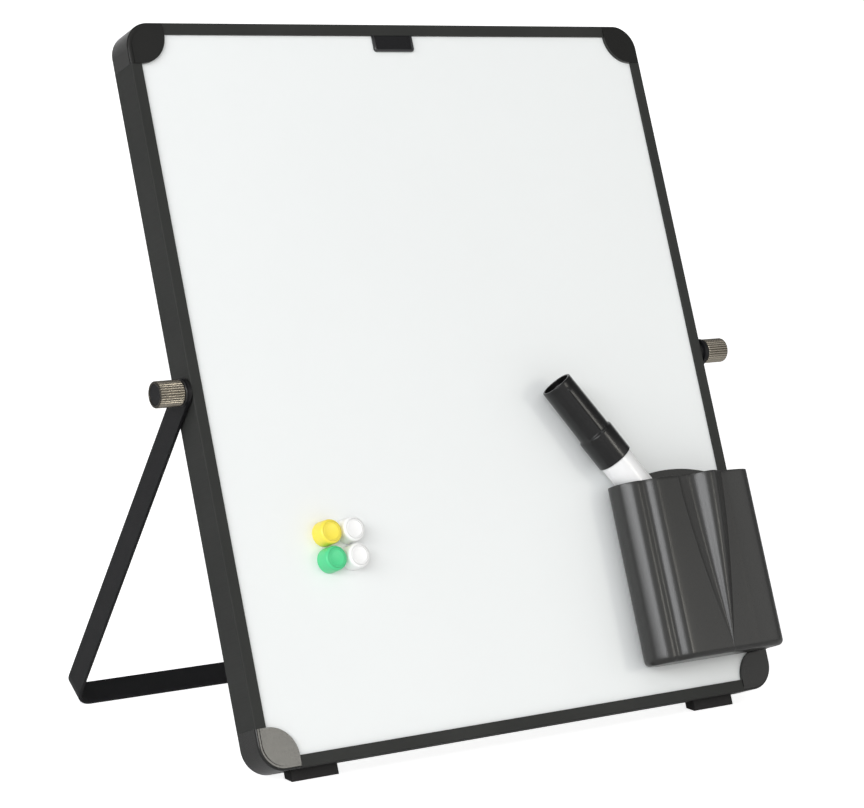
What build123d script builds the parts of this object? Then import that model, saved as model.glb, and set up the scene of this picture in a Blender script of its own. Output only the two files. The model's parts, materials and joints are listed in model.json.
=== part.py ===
"""Desktop whiteboard easel: a framed two-sided board that leans on a pivoting strap,
with a magnetic marker holder, a capped marker and four magnet buttons.

Every piece is modelled in the board's own frame, x to the right, y up the board and
z out of its front, with the origin at the middle of the frame's front plane. The whole
easel is then leaned back and stood on the desk: Z = 0 is the desk, and the origin is
the middle of the footprint.
"""

import os
from math import cos, radians, sin, tan

from build123d import *

# Board and its frame
board_width = 300
board_height = 350
board_lean = 21.7
rail_depth = 17
rail_face = 5.7
rail_web = 1.4
rail_lip = 1.3
rail_edge_round = 0.7
sheet_thickness = 0.6
panel_corner_round = 8

# Corner caps
cap_reach = 20
cap_round = 12.5
cap_proud = 0.1
cap_edge_round = 1.1
leaf_proud = 0.5
leaf_inset = 2.0
spigot_length = 9
spigot_thickness = 1.6
spigot_clearance = 0.1

# Blank tab under the top rail
tab_width = 23.3
tab_height = 8.2
tab_thickness = 0.9
tab_corner_round = 1.5
tab_off_middle = 2.1

# Feet
foot_length = 24.6
foot_to_cap = 0.3
foot_front_depth = 10.5
foot_drop = 5.4
foot_edge_round = 0.6
peg_radius = 2
peg_beyond_web = 1

# Pivot
pivot_depth = 4.8
stud_radius = 2
running_clearance = 0.06
insert_reach = 10
insert_height = 16
insert_thickness = 9
insert_pocket_clearance = 0.1
stud_engagement = 8
inner_washer_radius = 4.7
inner_washer_thickness = 1.2
collar_radius = 6.2
collar_thickness = 0.9
collar_edge = 0.25

# Stand strap, a flat bar bent to a U
strap_width = 13
strap_thickness = 1.6
strap_spread = 55.2
strap_bend_round = 9

# Clamp knobs
knob_radius = 6.2
knob_length = 12.4
knob_chamfer = 1
knurl_count = 40
knurl_depth = 0.35
neck_radius = 4.6
neck_length = 0.5
knob_disc_radius = 4.8
knob_disc_thickness = 1
knob_disc_recess = 0.2
stud_in_knob = 8
press_clearance = 0.03

# Marker holder: a fluted front shell on a back plate
holder_from_side = 2.8
holder_width = 79.6
holder_from_bottom = 18.5
holder_height = 89.5
holder_depth = 24.2
holder_wall = 1.5
holder_floor = 2.5
holder_foot_round = 2.8
holder_stand_off = 0.7
back_plate_thickness = 1.6
back_plate_arch = 6.7
lobe_back_round = 9
lobe_front_round = 8
valley_round = 2.5
facet_round = 4
shoulder_round = 9
right_back_round = 3
lobe_depth = 21.8
valley_depth = 20.7
valley_across = 9.7
facet_depth = 23
facet_across = 19.1
shoulder_depth = 19.2
crease_from_right = 21.8
ridge_width = 29
ridge_height = 4
ridge_crest_share = 0.52
ridge_crest_round = 5
ridge_sunk = 0.7
ridge_foot_share = 0.05
ridge_foot_from_right_share = 0.56
ridge_length = 85
shelf_thickness = 1.6
holder_magnet_radius = 6
holder_magnet_gap = 0.1
holder_magnet_sunk = 0.8
holder_magnet_inset = 17
magnet_seat_clearance = 0.05

# Marker, from its tail end towards its cap
marker_tilt = 33.6
marker_length = 138
marker_clearance = 0.3
marker_side_gap = 1
barrel_showing = 16.4
barrel_radius = 8.4
barrel_wall = 1.2
plug_flange = 1.5
plug_depth = 5
reservoir_radius = 5.8
reservoir_gap = 0.1
section_plug_depth = 6
section_neck_radius = 7.2
section_neck_length = 10
section_cone_radius = 5.2
section_tip_radius = 3
section_cone_length = 13
nib_radius = 2.2
nib_length_out = 6
nib_tip_radius = 1.3

# Marker cap
pen_cap_length = 47.5
pen_cap_radius = 8.3
pen_cap_end_radius = 8
pen_ring_radius = 9.2
pen_ring_length = 16
pen_ring_shoulder = 0.9
pen_cap_gap = 0.3
pen_cap_bore = 6.2
pen_ring_bore = 7.5
pen_ring_bore_length = 12
pen_cap_bore_length = 38
pen_cap_recess_radius = 6.8
pen_cap_recess_depth = 3
pen_rib_width = 3.6
pen_rib_height = 0.8
seal_thickness = 1.5

# Magnet buttons
button_radius = 6
button_height = 8
button_shoulder = 6.7
button_crown = 0.3
crown_share = 0.72
button_magnet_radius = 4.8
button_magnet_thickness = 3
button_gap = 0.1
button_pitch_across = 12.6
button_pitch_up = 12.4
buttons_from_side = 61.1
buttons_from_bottom = 96.7

# Sizes that follow
edge_inset = rail_web + spigot_clearance + spigot_thickness + 3 * spigot_clearance
panel_front = -rail_lip
panel_back = rail_lip - rail_depth
pivot_z = -pivot_depth
insert_front = panel_front - sheet_thickness - insert_pocket_clearance
insert_middle = insert_front - insert_thickness / 2
collar_inner = board_width / 2 + inner_washer_thickness + strap_thickness
knob_inner = collar_inner + collar_thickness
knob_outer = knob_inner + neck_length + knob_length
strap_inner = board_width / 2 + inner_washer_thickness
strap_outer = strap_inner + strap_thickness
foot_from_middle = board_width / 2 - cap_reach - foot_to_cap - foot_length / 2
foot_bottom = board_height / 2 + foot_drop
desk_to_front = foot_bottom * cos(radians(board_lean)) + foot_front_depth * sin(radians(board_lean))
leg_from_vertical = strap_spread - board_lean
pivot_height = desk_to_front + pivot_z * sin(radians(board_lean))
strap_reach = pivot_height - strap_width / 2 * sin(radians(leg_from_vertical))
strap_reach = strap_reach / cos(radians(leg_from_vertical))

pieces = {}


def ring(outer, inner, height):
    """Flat ring standing on the XY plane."""
    return extrude(Circle(outer) - Circle(inner), height)


def outward(side, distance):
    """Plane across the pivot axis at a distance from the middle, facing outwards."""
    return Plane(origin=(side * distance, 0, pivot_z), x_dir=(0, 1, 0), z_dir=(side, 0, 0))


# Frame rails

def rail(half_span, length, holes=()):
    """Channel bar with its web at half_span and its lips reaching over the panel."""
    bar = Pos(half_span - rail_face / 2, 0, -rail_depth / 2) * Box(rail_face, length, rail_depth)
    bar = fillet(bar.edges().filter_by(Axis.Y).group_by(Axis.X)[-1], rail_edge_round)
    room = Pos(half_span - rail_web - rail_face / 2, 0, -rail_depth / 2)
    bar -= room * Box(rail_face, length, rail_depth - 2 * rail_lip)
    for along, depth, radius in holes:
        drill = Pos(half_span, along, depth) * Rot(0, 90, 0)
        bar -= drill * Cylinder(radius, 2 * rail_face)
    return bar


side_length = board_height - 2 * cap_reach
end_length = board_width - 2 * cap_reach
foot_middle_depth = (rail_depth + foot_front_depth) / 2
stud_hole = (0, pivot_z, stud_radius + running_clearance)
peg_holes = [
    (side * foot_from_middle, -foot_middle_depth, peg_radius + press_clearance) for side in (-1, 1)
]
pieces["rail_right"] = rail(board_width / 2, side_length, [stud_hole])
pieces["rail_left"] = Rot(0, 0, 180) * rail(board_width / 2, side_length, [stud_hole])
pieces["rail_top"] = Rot(0, 0, 90) * rail(board_height / 2, end_length)
pieces["rail_bottom"] = Rot(0, 0, -90) * rail(board_height / 2, end_length, peg_holes)


# Panel: two writing sheets on a light core

def panel_layer(top, thickness):
    """Rounded rectangle of the panel's outline, its upper face at height top."""
    outline = RectangleRounded(
        board_width - 2 * edge_inset, board_height - 2 * edge_inset, panel_corner_round
    )
    return Pos(0, 0, top - thickness) * extrude(outline, thickness)


core_thickness = panel_front - panel_back - 2 * sheet_thickness
pieces["writing_sheet_front"] = panel_layer(panel_front, sheet_thickness)
pieces["writing_sheet_back"] = panel_layer(panel_back + sheet_thickness, sheet_thickness)
core = panel_layer(panel_front - sheet_thickness, core_thickness)
for side in (-1, 1):
    pocket_x = board_width / 2 - rail_web - insert_reach / 2
    core -= Pos(side * pocket_x, 0, insert_middle) * Box(
        insert_reach + 2 * insert_pocket_clearance,
        insert_height + 2 * insert_pocket_clearance,
        insert_thickness + 2 * insert_pocket_clearance,
    )
pieces["panel_core"] = core


# Corner caps

def cap_outline(inset, proud):
    """Leaf-shaped corner: a rounded outer corner and an inner arc that bulges to the panel.

    The outer corner of the board is at the origin, and the cap lies towards -x and -y.
    """
    edge = proud - inset
    inner_radius = cap_reach - rail_face
    mid = -rail_face - inner_radius * cos(radians(45))
    outer_mid = -cap_round + (cap_round + edge) * cos(radians(45))
    return make_face(
        [
            Line((-cap_reach, edge), (-cap_round, edge)),
            ThreePointArc((-cap_round, edge), (outer_mid, outer_mid), (edge, -cap_round)),
            Line((edge, -cap_round), (edge, -cap_reach)),
            Line((edge, -cap_reach), (-rail_face, -cap_reach)),
            ThreePointArc((-rail_face, -cap_reach), (mid, mid), (-cap_reach, -rail_face)),
            Line((-cap_reach, -rail_face), (-cap_reach, edge)),
        ]
    )


def corner_cap():
    """Cap for the top right corner, with spigots that plug into both rails."""
    height = rail_depth + 2 * cap_proud
    body = Pos(0, 0, -rail_depth - cap_proud) * extrude(cap_outline(0, cap_proud), height)
    rims = body.edges().group_by(Axis.Z)
    rounded = [edge for edge in rims[0] + rims[-1] if edge.center().X + edge.center().Y > -cap_round]
    body = fillet(rounded, cap_edge_round)
    leaf_height = rail_depth + 2 * leaf_proud
    leaf = extrude(cap_outline(leaf_inset, 0), leaf_height)
    body += Pos(0, 0, -rail_depth - leaf_proud) * leaf
    slot_size = 2 * (cap_reach + spigot_length)
    slot_edge = 2 * spigot_clearance - edge_inset
    slot_middle = slot_edge - slot_size / 2
    slot = RectangleRounded(slot_size, slot_size, panel_corner_round + 2 * spigot_clearance)
    body -= Pos(slot_middle, slot_middle, panel_back) * extrude(slot, panel_front - panel_back)
    spigot = Box(
        spigot_length + cap_round / 2,
        spigot_thickness,
        panel_front - panel_back - 2 * spigot_clearance,
    )
    along = -cap_reach - spigot_length / 2 + cap_round / 4
    across = -rail_web - spigot_clearance - spigot_thickness / 2
    for spot in (Pos(along, across, -rail_depth / 2), Pos(across, along, -rail_depth / 2) * Rot(0, 0, 90)):
        body += spot * spigot
    return body


half_width, half_height = board_width / 2, board_height / 2
cap_places = {
    "corner_cap_top_right": (half_width, half_height, 0),
    "corner_cap_top_left": (-half_width, half_height, 90),
    "corner_cap_bottom_left": (-half_width, -half_height, 180),
    "corner_cap_bottom_right": (half_width, -half_height, 270),
}
for name, (x, y, turn) in cap_places.items():
    pieces[name] = Pos(x, y, 0) * Rot(0, 0, turn) * corner_cap()


# Blank tab

def top_tab():
    """Thin plate on the sheet just below the top rail, its lower corners rounded."""
    plate = Box(tab_width, tab_height, tab_thickness)
    lower = plate.edges().filter_by(Axis.Z).group_by(Axis.Y)[0]
    plate = fillet(lower, tab_corner_round)
    top = board_height / 2 - rail_face
    return Pos(-tab_off_middle, top - tab_height / 2, panel_front + tab_thickness / 2) * plate


pieces["top_tab"] = top_tab()


# Feet

def foot(side):
    """Wedge under the bottom rail whose underside lies on the desk, with a peg in the rail."""
    depth = rail_depth - foot_front_depth
    back_bottom = foot_bottom - depth * tan(radians(board_lean))
    section = make_face(
        Polyline(
            [
                (0, -half_height, -foot_front_depth),
                (0, -foot_bottom, -foot_front_depth),
                (0, -back_bottom, -rail_depth),
                (0, -half_height, -rail_depth),
            ],
            close=True,
        )
    )
    block = extrude(section, foot_length / 2, dir=(1, 0, 0), both=True)
    corners = block.edges().filter_by(Axis.X).group_by(Axis.Y)[0]
    block = fillet(corners, foot_edge_round)
    peg_height = rail_web + peg_beyond_web + foot_drop / 2
    peg = Rot(90, 0, 0) * Cylinder(peg_radius, peg_height)
    peg_top = -half_height + rail_web + peg_beyond_web
    block += Pos(0, peg_top - peg_height / 2, -foot_middle_depth) * peg
    return Pos(side * foot_from_middle, 0, 0) * block


pieces["foot_left"] = foot(-1)
pieces["foot_right"] = foot(1)


# Pivot hardware on each side rail

def pivot_insert(side):
    """Block behind the rail's web with the tapped hole for the knob's stud."""
    middle = board_width / 2 - rail_web - insert_reach / 2
    block = Pos(0, 0, insert_middle) * Box(insert_reach, insert_height, insert_thickness)
    bore = Rot(0, 90, 0) * Cylinder(stud_radius + running_clearance, 2 * insert_reach)
    return Pos(side * middle, 0, 0) * (block - Pos(0, 0, pivot_z) * bore)


def collar():
    """Thin collar with both outer edges broken, standing on the XY plane."""
    disc = ring(collar_radius, stud_radius + running_clearance, collar_thickness)
    outer = disc.edges().filter_by(GeomType.CIRCLE).sort_by(SortBy.RADIUS)[-2:]
    return chamfer(outer, collar_edge)


def knob_grip():
    """Knurled grip on a short neck, standing on the XY plane, bored for stud and disc."""
    outline = []
    for tooth in range(2 * knurl_count):
        angle = radians(180 / knurl_count * tooth)
        radius = knob_radius - knurl_depth * (tooth % 2)
        outline.append((radius * cos(angle), radius * sin(angle)))
    knurled = extrude(make_face(Polyline(outline, close=True)), knob_length)
    blank = Pos(0, 0, knob_length / 2) * Cylinder(knob_radius, knob_length)
    blank = chamfer(blank.edges().filter_by(GeomType.CIRCLE), knob_chamfer)
    grip = Pos(0, 0, neck_length) * (knurled & blank)
    grip += extrude(Circle(neck_radius), neck_length)
    end = neck_length + knob_length
    socket_depth = knob_disc_thickness + knob_disc_recess
    grip -= Pos(0, 0, end - socket_depth / 2) * Cylinder(
        knob_disc_radius + press_clearance, socket_depth
    )
    grip -= Pos(0, 0, stud_in_knob / 2) * Cylinder(stud_radius + press_clearance, stud_in_knob)
    return grip


for side, word in ((-1, "left"), (1, "right")):
    pieces[f"pivot_insert_{word}"] = pivot_insert(side)
    washer = ring(inner_washer_radius, stud_radius + running_clearance, inner_washer_thickness)
    pieces[f"inner_washer_{word}"] = outward(side, board_width / 2) * washer
    pieces[f"collar_{word}"] = outward(side, collar_inner) * collar()
    pieces[f"knob_grip_{word}"] = outward(side, knob_inner) * knob_grip()
    disc = extrude(Circle(knob_disc_radius), knob_disc_thickness)
    disc_place = knob_outer - knob_disc_recess - knob_disc_thickness
    pieces[f"knob_disc_{word}"] = outward(side, disc_place) * disc
    stud_start = board_width / 2 - rail_web - stud_engagement
    stud = extrude(Circle(stud_radius), knob_inner + stud_in_knob - stud_start)
    pieces[f"knob_stud_{word}"] = outward(side, stud_start) * stud


# Stand strap

def stand_strap():
    """U of flat bar: two legs with round heads at the pivots and a crossbar that rests on the desk.

    It is drawn flat, the legs running down -y from the pivot axis, then turned to its spread.
    """
    legs = Pos(0, -strap_reach / 2) * Rectangle(2 * strap_outer, strap_reach)
    inner_reach = strap_reach - strap_thickness
    gap = Pos(0, -inner_reach / 2) * Rectangle(2 * strap_inner, inner_reach)
    legs = fillet(legs.vertices().group_by(Axis.Y)[0], strap_bend_round)
    gap = fillet(gap.vertices().group_by(Axis.Y)[0], strap_bend_round - strap_thickness)
    bar = extrude(legs - gap, strap_width / 2, both=True)
    for side in (-1, 1):
        middle = side * (strap_inner + strap_thickness / 2)
        bar += Pos(middle, 0, 0) * Rot(0, 90, 0) * Cylinder(strap_width / 2, strap_thickness)
        hole = Cylinder(stud_radius + running_clearance, 2 * strap_thickness)
        bar -= Pos(middle, 0, 0) * Rot(0, 90, 0) * hole
    return Pos(0, 0, pivot_z) * Rot(strap_spread, 0, 0) * bar


pieces["stand_strap"] = stand_strap()


# Marker holder, drawn in plan with x across and y out of the board

holder_right = board_width / 2 - holder_from_side
holder_left = holder_right - holder_width
holder_rim = -board_height / 2 + holder_from_bottom + holder_height
holder_back = holder_stand_off
plate_front = holder_stand_off + back_plate_thickness
rim_centre_x = holder_left + holder_wall + marker_side_gap
rim_centre_x += barrel_radius / cos(radians(marker_tilt))
tail_from_rim = marker_length - pen_cap_length - barrel_showing
tail_x = rim_centre_x + tail_from_rim * sin(radians(marker_tilt))
tail_y = holder_rim - tail_from_rim * cos(radians(marker_tilt))
shelf_top = tail_y - barrel_radius * sin(radians(marker_tilt)) - marker_clearance


def plan_at(level):
    """Plane of a plan drawing at a height up the board; its z points down the board."""
    return Plane(origin=(0, level, 0), x_dir=(1, 0, 0), z_dir=(0, -1, 0))


def holder_plan():
    """Plan outline: a round lobe, a valley, a long facet and a rounded right shoulder."""
    corners = [
        (holder_left, holder_back),
        (holder_left, holder_back + lobe_depth),
        (holder_left + valley_across, holder_back + valley_depth),
        (holder_left + facet_across, holder_back + facet_depth),
        (holder_right - crease_from_right, holder_back + holder_depth),
        (holder_right, holder_back + shoulder_depth),
        (holder_right, holder_back),
    ]
    rounds = [
        lobe_back_round,
        lobe_front_round,
        valley_round,
        facet_round,
        0,
        shoulder_round,
        right_back_round,
    ]
    return make_face(FilletPolyline(corners, radius=rounds, close=True))


def ridge_profile(share):
    """Cross-section of the ridge at a share of its full size, drawn towards its foot point."""
    right = holder_right - crease_from_right
    foot_x = right - ridge_width * ridge_foot_from_right_share
    level = holder_back + holder_depth
    corners = [
        (right - ridge_width, level - holder_wall),
        (right - ridge_width, level - ridge_sunk),
        (right - ridge_width * (1 - ridge_crest_share), level + ridge_height),
        (right, level),
        (right, level - holder_wall),
    ]
    shrunk = [
        (foot_x + share * (x - foot_x), level - ridge_sunk + share * (y - level + ridge_sunk))
        for x, y in corners
    ]
    return make_face(FilletPolyline(shrunk, radius=[0, 0, share * ridge_crest_round, 0, 0], close=True))


def ridge():
    """Long half cone on the front: full width at the rim, running to a point at the foot."""
    top = plan_at(holder_rim) * ridge_profile(1)
    foot_end = plan_at(holder_rim - ridge_length) * ridge_profile(ridge_foot_share)
    return loft([top, foot_end], ruled=True)


def holder_front():
    """Moulded shell, open at the top and at the back, with a shelf under the marker's tail."""
    outer_plan = holder_plan()
    inner_plan = offset(outer_plan, -holder_wall)
    body = plan_at(holder_rim) * extrude(outer_plan, holder_height)
    body = fillet(body.edges().group_by(Axis.Y)[0], holder_foot_round)
    body += ridge()
    room_depth = holder_height - holder_floor
    room = plan_at(holder_rim) * extrude(inner_plan, room_depth)
    room = fillet(room.edges().group_by(Axis.Y)[0], holder_foot_round - holder_wall)
    body -= room
    body += plan_at(shelf_top) * extrude(offset(outer_plan, -holder_wall / 2), shelf_thickness)
    behind = Box(2 * holder_width, 2 * holder_height, rail_depth)
    middle = (holder_left + holder_right) / 2
    return body - Pos(middle, holder_rim - holder_height / 2, plate_front - rail_depth / 2) * behind


def holder_magnet_spots():
    """Centres of the four disc magnets behind the back plate."""
    xs = (holder_left + holder_magnet_inset, holder_right - holder_magnet_inset)
    ys = (holder_rim - holder_magnet_inset, holder_rim - holder_height + holder_magnet_inset)
    return [(x, y) for x in xs for y in ys]


def holder_plate():
    """Back plate of the holder, its top edge an arch above the rim, with four magnet pockets."""
    slab_middle = (holder_back + plate_front) / 2
    slab = Box(2 * holder_width, 2 * holder_height, back_plate_thickness)
    body = plan_at(holder_rim) * extrude(holder_plan(), holder_height)
    body = fillet(body.edges().group_by(Axis.Y)[0], holder_foot_round)
    middle = (holder_left + holder_right) / 2
    body &= Pos(middle, holder_rim - holder_height / 2, slab_middle) * slab
    left, right = holder_left + lobe_back_round, holder_right - right_back_round
    peak = ((left + right) / 2, holder_rim + back_plate_arch)
    arch = make_face(
        [
            ThreePointArc((left, holder_rim), peak, (right, holder_rim)),
            Line((right, holder_rim), (right, holder_rim - back_plate_arch)),
            Line((right, holder_rim - back_plate_arch), (left, holder_rim - back_plate_arch)),
            Line((left, holder_rim - back_plate_arch), (left, holder_rim)),
        ]
    )
    body += Pos(0, 0, holder_back) * extrude(arch, back_plate_thickness)
    pocket = Cylinder(holder_magnet_radius + magnet_seat_clearance, 2 * holder_magnet_sunk)
    for x, y in holder_magnet_spots():
        body -= Pos(x, y, holder_back) * pocket
    return body


def holder_magnets():
    """Four discs that reach from the back plate's pockets to the writing sheet."""
    start = panel_front + holder_magnet_gap
    disc = extrude(Circle(holder_magnet_radius), holder_back + holder_magnet_sunk - start)
    return Compound([Pos(x, y, start) * disc for x, y in holder_magnet_spots()])


pieces["holder_front"] = holder_front()
pieces["holder_plate"] = holder_plate()
pieces["holder_magnets"] = holder_magnets()


# Marker, turned about its axis from the tail at height 0 towards the cap

marker_depth = plate_front + marker_clearance + barrel_radius
marker_axis = (-sin(radians(marker_tilt)), cos(radians(marker_tilt)), 0)
marker_across = (cos(radians(marker_tilt)), sin(radians(marker_tilt)), 0)
marker_plane = Plane(origin=(tail_x, tail_y, marker_depth), x_dir=marker_across, z_dir=marker_axis)
cap_start = marker_length - pen_cap_length
barrel_end = cap_start - pen_cap_gap
bore_radius = barrel_radius - barrel_wall


def turned(profile, start=0):
    """Solid of revolution about Z from (radius, height) corners, lifted by start."""
    outline = Polyline([(radius, 0, start + height) for radius, height in profile], close=True)
    return revolve(make_face(outline), Axis.Z)


def marker_section():
    """Plug in the barrel, neck and cone that hold the nib."""
    neck_top = section_plug_depth + section_neck_length
    cone_top = neck_top + section_cone_length
    plug_radius = bore_radius - press_clearance
    hole = nib_radius + press_clearance
    return turned(
        [
            (hole, 0),
            (plug_radius, 0),
            (plug_radius, section_plug_depth),
            (section_neck_radius, section_plug_depth),
            (section_neck_radius, neck_top),
            (section_cone_radius, neck_top),
            (section_tip_radius, cone_top),
            (hole, cone_top),
        ],
        barrel_end - section_plug_depth,
    )


def pen_cap():
    """Cap with a wide ring at its mouth, a hollow end and a raised rib along its side."""
    shoulder = pen_ring_length + pen_ring_shoulder
    body = turned(
        [
            (0, 0),
            (pen_ring_radius, 0),
            (pen_ring_radius, pen_ring_length),
            (pen_cap_radius, shoulder),
            (pen_cap_end_radius, pen_cap_length),
            (0, pen_cap_length),
        ]
    )
    rib_length = pen_cap_length - shoulder
    rib = Box(pen_rib_width, 2 * pen_rib_height, rib_length)
    body += Pos(0, -pen_cap_radius, shoulder + rib_length / 2) * rib
    body -= extrude(Circle(pen_ring_bore), pen_ring_bore_length)
    body -= extrude(Circle(pen_cap_bore), pen_cap_bore_length)
    recess = extrude(Circle(pen_cap_recess_radius), pen_cap_recess_depth)
    return body - Pos(0, 0, pen_cap_length - pen_cap_recess_depth) * recess


barrel = ring(barrel_radius, bore_radius, barrel_end - plug_flange)
plug = turned(
    [
        (0, 0),
        (barrel_radius, 0),
        (barrel_radius, plug_flange),
        (bore_radius - press_clearance, plug_flange),
        (bore_radius - press_clearance, plug_flange + plug_depth),
        (0, plug_flange + plug_depth),
    ]
)
reservoir_start = plug_flange + plug_depth + reservoir_gap
reservoir_length = barrel_end - section_plug_depth - reservoir_gap - reservoir_start
nib_start = barrel_end - section_plug_depth
nib_length = section_plug_depth + section_neck_length + section_cone_length + nib_length_out
nib_shoulder = nib_length - nib_length_out / 2
nib = turned(
    [
        (0, 0),
        (nib_radius, 0),
        (nib_radius, nib_shoulder),
        (nib_tip_radius, nib_length),
        (0, nib_length),
    ],
    nib_start,
)
seal = extrude(Circle(pen_cap_bore - press_clearance), seal_thickness)
pieces["marker_barrel"] = marker_plane * (Pos(0, 0, plug_flange) * barrel)
pieces["marker_end_plug"] = marker_plane * plug
pieces["marker_reservoir"] = marker_plane * (
    Pos(0, 0, reservoir_start) * extrude(Circle(reservoir_radius), reservoir_length)
)
pieces["marker_section"] = marker_plane * marker_section()
pieces["marker_nib"] = marker_plane * nib
pieces["marker_cap"] = marker_plane * (Pos(0, 0, cap_start) * pen_cap())
seal_start = cap_start + pen_cap_bore_length - seal_thickness
pieces["marker_cap_seal"] = marker_plane * (Pos(0, 0, seal_start) * seal)


# Magnet buttons

def button_shell():
    """Round button with a gently domed top and a pocket for its magnet."""
    crown = (button_radius * crown_share, button_height - button_crown)
    profile = make_face(
        [
            Line((0, 0, 0), (button_radius, 0, 0)),
            Line((button_radius, 0, 0), (button_radius, 0, button_shoulder)),
            Spline(
                (button_radius, 0, button_shoulder),
                (crown[0], 0, crown[1]),
                (0, 0, button_height),
                tangents=[(0, 0, 1), (-1, 0, 0)],
            ),
            Line((0, 0, button_height), (0, 0, 0)),
        ]
    )
    shell = revolve(profile, Axis.Z)
    pocket = Circle(button_magnet_radius + magnet_seat_clearance)
    return shell - extrude(pocket, button_magnet_thickness)


button_spots = {
    "yellow": (-1, 1),
    "green": (-1, -1),
    "white_upper": (1, 1),
    "white_lower": (1, -1),
}
for word, (across, up) in button_spots.items():
    x = buttons_from_side - half_width + across * button_pitch_across / 2
    y = buttons_from_bottom - half_height + up * button_pitch_up / 2
    place = Pos(x, y, panel_front + button_gap)
    pieces[f"button_{word}"] = place * button_shell()
    magnet = extrude(Circle(button_magnet_radius), button_magnet_thickness)
    pieces[f"button_magnet_{word}"] = place * magnet


# Lean the board back, stand it on the desk and centre its footprint

standing = Pos(0, 0, desk_to_front) * Rot(90 - board_lean, 0, 0)
pieces = {name: standing * piece for name, piece in pieces.items()}
footprint_middle = Compound(list(pieces.values())).bounding_box().center().Y

os.makedirs("parts", exist_ok=True)
for name, piece in pieces.items():
    export_step(Pos(0, -footprint_middle, 0) * piece, f"parts/{name}.step")
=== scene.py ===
"""Looks for the desktop whiteboard easel: finishes for every node of the frame, finer pieces
that stand for some of them, a plain studio and a camera.

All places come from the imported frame, in metres. The board's own directions are read from
it too: across (+X), up the board, and out of its front.
"""

import json
from math import atan2, pi, radians, tau

import bmesh
import bpy
import numpy as np
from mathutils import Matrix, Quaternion, Vector


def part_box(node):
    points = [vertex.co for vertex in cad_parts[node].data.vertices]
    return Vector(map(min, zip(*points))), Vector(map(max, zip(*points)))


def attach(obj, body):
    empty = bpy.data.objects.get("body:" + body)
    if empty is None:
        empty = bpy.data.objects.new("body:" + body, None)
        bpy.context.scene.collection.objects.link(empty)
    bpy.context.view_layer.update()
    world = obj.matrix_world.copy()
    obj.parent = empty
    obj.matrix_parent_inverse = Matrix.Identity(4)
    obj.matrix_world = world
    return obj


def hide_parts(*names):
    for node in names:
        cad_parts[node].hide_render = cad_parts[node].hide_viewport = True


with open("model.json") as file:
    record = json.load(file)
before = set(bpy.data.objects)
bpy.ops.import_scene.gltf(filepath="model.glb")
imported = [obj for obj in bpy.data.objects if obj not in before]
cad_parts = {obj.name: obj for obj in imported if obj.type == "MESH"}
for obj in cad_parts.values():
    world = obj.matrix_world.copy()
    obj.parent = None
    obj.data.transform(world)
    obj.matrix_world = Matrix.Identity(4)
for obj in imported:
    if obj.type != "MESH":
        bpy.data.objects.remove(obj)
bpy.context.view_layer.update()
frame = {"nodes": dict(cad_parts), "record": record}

bl_info = {
    "name": "Desktop whiteboard easel",
    "version": (1, 0, 0),
    "blender": (4, 5, 0),
    "location": "3D View > Sidebar > Easel",
    "description": "Finishes, finer pieces, studio and camera for a desktop whiteboard easel",
    "category": "Object",
}

MM = 0.001


# Directions and places read from the frame

def joint(name):
    """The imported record's entry for a joint."""
    for entry in frame["record"]["behaviour"]["joints"]:
        if entry["name"] == name:
            return entry
    raise RuntimeError(f"no joint named {name}")


def middle(node):
    """Middle of a node's box, as an array."""
    low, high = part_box(node)
    return (np.array(low) + np.array(high)) / 2


def extent(node, axis):
    """Least and greatest reach of a node's vertices along a direction."""
    mesh = frame["nodes"][node].data
    points = np.empty(3 * len(mesh.vertices))
    mesh.vertices.foreach_get("co", points)
    reach = points.reshape(-1, 3) @ axis
    return reach.min(), reach.max()


def tube_length(node, axis):
    """Length of a straight round solid, from its box.

    Along X, Y and Z the box is the length times the axis's share, plus the diameter times the
    share that is left. The three sums are solved together.
    """
    low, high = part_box(node)
    share = np.abs(axis)
    terms = np.stack([share, 2 * np.sqrt(1 - share ** 2)], axis=1)
    return np.linalg.lstsq(terms, np.array(high) - np.array(low), rcond=None)[0][0]


ACROSS = np.array((1.0, 0.0, 0.0))
OUT = np.array(joint("holder_pull")["axis"])
OUT = OUT / np.linalg.norm(OUT)
UP = np.cross(OUT, ACROSS)
LEAN = atan2(OUT[2], -OUT[1])
MARKER_AXIS = np.array(joint("marker_lift")["axis"])
MARKER_AXIS = MARKER_AXIS / np.linalg.norm(MARKER_AXIS)


# Values a user may change

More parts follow.
